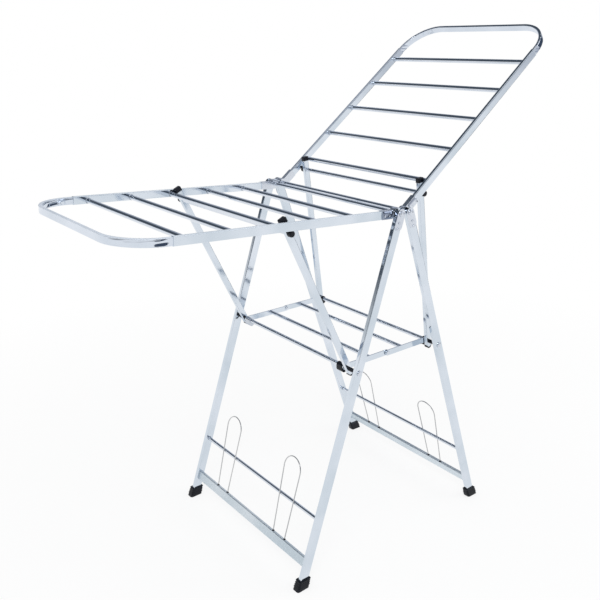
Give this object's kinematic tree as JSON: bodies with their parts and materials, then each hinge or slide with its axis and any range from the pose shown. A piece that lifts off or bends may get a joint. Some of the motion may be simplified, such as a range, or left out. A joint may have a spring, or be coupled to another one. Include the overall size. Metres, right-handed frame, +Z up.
{
  "type": "clothes drying rack",
  "caption": "Folding gull-wing clothes drying rack of chromed tube with hinged rung wings on propping braces, crossed leg frames, a folding middle shelf and wire shoe hooks.",
  "frame": {"origin": "on the floor, midway between the four feet and under the middle of the top hinge", "axes": "+Z up; +X along the wings, with the raised wing on +X and the flat wing on -X; Y along the rungs, with the picture's near side on -Y"},
  "size_m": [1.3036, 0.5622, 1.368],
  "materials": {
    "chrome_tube": "polished chrome plate on bent and straight flat tube",
    "chrome_rod": "polished chrome plate on thin round tube",
    "hinge_metal": "plated stamped sheet with softened edges",
    "wire": "bright plated wire",
    "black_plastic": "moulded black plastic with a satin sheen"
  },
  "bodies": {
    "head": {"near_link_plate": "hinge_metal", "far_link_plate": "hinge_metal", "left_axle": "chrome_rod", "right_axle": "chrome_rod"},
    "left_legs": {"left_near_leg": "chrome_tube", "left_near_foot": "black_plastic", "left_near_shoe_hook": "wire", "left_far_leg": "chrome_tube", "left_far_foot": "black_plastic", "left_far_shoe_hook": "wire", "left_hinge_plates": "hinge_metal", "left_hinge_rivets": "hinge_metal", "left_crossbar": "chrome_tube", "left_leg_rung": "chrome_rod", "left_shelf_pivot": "chrome_rod", "left_pivot_bushes": "black_plastic"},
    "left_wing": {"left_near_wing_rail": "chrome_tube", "left_far_wing_rail": "chrome_tube", "left_end_bow": "chrome_tube", "left_wing_saddles": "hinge_metal", "left_wing_rung_1": "chrome_rod", "left_wing_rung_2": "chrome_rod", "left_wing_rung_3": "chrome_rod", "left_wing_rung_4": "chrome_rod", "left_wing_rung_5": "chrome_rod"},
    "left_brace": {"left_near_brace_arm": "chrome_tube", "left_far_brace_arm": "chrome_tube", "left_brace_rod": "chrome_rod", "left_brace_caps": "black_plastic"},
    "left_shelf": {"left_near_shelf_rail": "chrome_tube", "left_far_shelf_rail": "chrome_tube", "left_shelf_rod": "chrome_rod"},
    "right_legs": {"right_near_leg": "chrome_tube", "right_near_foot": "black_plastic", "right_near_shoe_hook": "wire", "right_far_leg": "chrome_tube", "right_far_foot": "black_plastic", "right_far_shoe_hook": "wire", "right_hinge_plates": "hinge_metal", "right_hinge_rivets": "hinge_metal", "right_crossbar": "chrome_tube", "right_leg_rung": "chrome_rod", "right_shelf_pivot": "chrome_rod", "right_pivot_bushes": "black_plastic"},
    "right_wing": {"right_near_wing_rail": "chrome_tube", "right_far_wing_rail": "chrome_tube", "right_end_bow": "chrome_tube", "right_wing_saddles": "hinge_metal", "right_wing_rung_1": "chrome_rod", "right_wing_rung_2": "chrome_rod", "right_wing_rung_3": "chrome_rod", "right_wing_rung_4": "chrome_rod", "right_wing_rung_5": "chrome_rod"},
    "right_brace": {"right_near_brace_arm": "chrome_tube", "right_far_brace_arm": "chrome_tube", "right_brace_rod": "chrome_rod", "right_brace_caps": "black_plastic"},
    "right_shelf": {"right_near_shelf_rail": "chrome_tube", "right_far_shelf_rail": "chrome_tube", "right_shelf_rod": "chrome_rod"}
  },
  "joints": [
    {"name": "left_leg_fold", "type": "hinge", "parent": "head", "child": "left_legs", "pos_m": [-0.015, 0, 0.93], "axis": [0, -1, 0], "range_deg": [0, 17]},
    {"name": "right_leg_fold", "type": "hinge", "parent": "head", "child": "right_legs", "pos_m": [0.015, 0, 0.93], "axis": [0, 1, 0], "range_deg": [0, 17]},
    {"name": "left_wing_lift", "type": "hinge", "parent": "left_legs", "child": "left_wing", "pos_m": [-0.015, 0, 0.93], "axis": [0, 1, 0], "range_deg": [0, 86.9]},
    {"name": "right_wing_lift", "type": "hinge", "parent": "right_legs", "child": "right_wing", "pos_m": [0.015, 0, 0.93], "axis": [0, -1, 0], "range_deg": [0, 52.1]},
    {"name": "left_brace_swing", "type": "hinge", "parent": "left_legs", "child": "left_brace", "pos_m": [-0.14389, 0, 0.54764], "axis": [0, 1, 0], "range_deg": [0, 36.01]},
    {"name": "right_brace_swing", "type": "hinge", "parent": "right_legs", "child": "right_brace", "pos_m": [0.14389, 0, 0.54764], "axis": [0, -1, 0], "range_deg": [0, 7.01]},
    {"name": "left_shelf_fold", "type": "hinge", "parent": "left_legs", "child": "left_shelf", "pos_m": [-0.14389, 0, 0.54764], "axis": [0, -1, 0], "range_deg": [0, 62.41]},
    {"name": "right_shelf_fold", "type": "hinge", "parent": "right_legs", "child": "right_shelf", "pos_m": [0.14389, 0, 0.54764], "axis": [0, 1, 0], "range_deg": [0, 62.41]}
  ],
  "couplings": [
    {"joint": "right_leg_fold", "follows": "left_leg_fold", "ratio": 1},
    {"joint": "left_shelf_fold", "follows": "left_leg_fold", "ratio": 3.6706},
    {"joint": "right_shelf_fold", "follows": "left_leg_fold", "ratio": 3.6706},
    {"joint": "left_brace_swing", "follows": "left_wing_lift", "ratio": 0.4143},
    {"joint": "right_brace_swing", "follows": "right_wing_lift", "ratio": 0.1344}
  ]
}
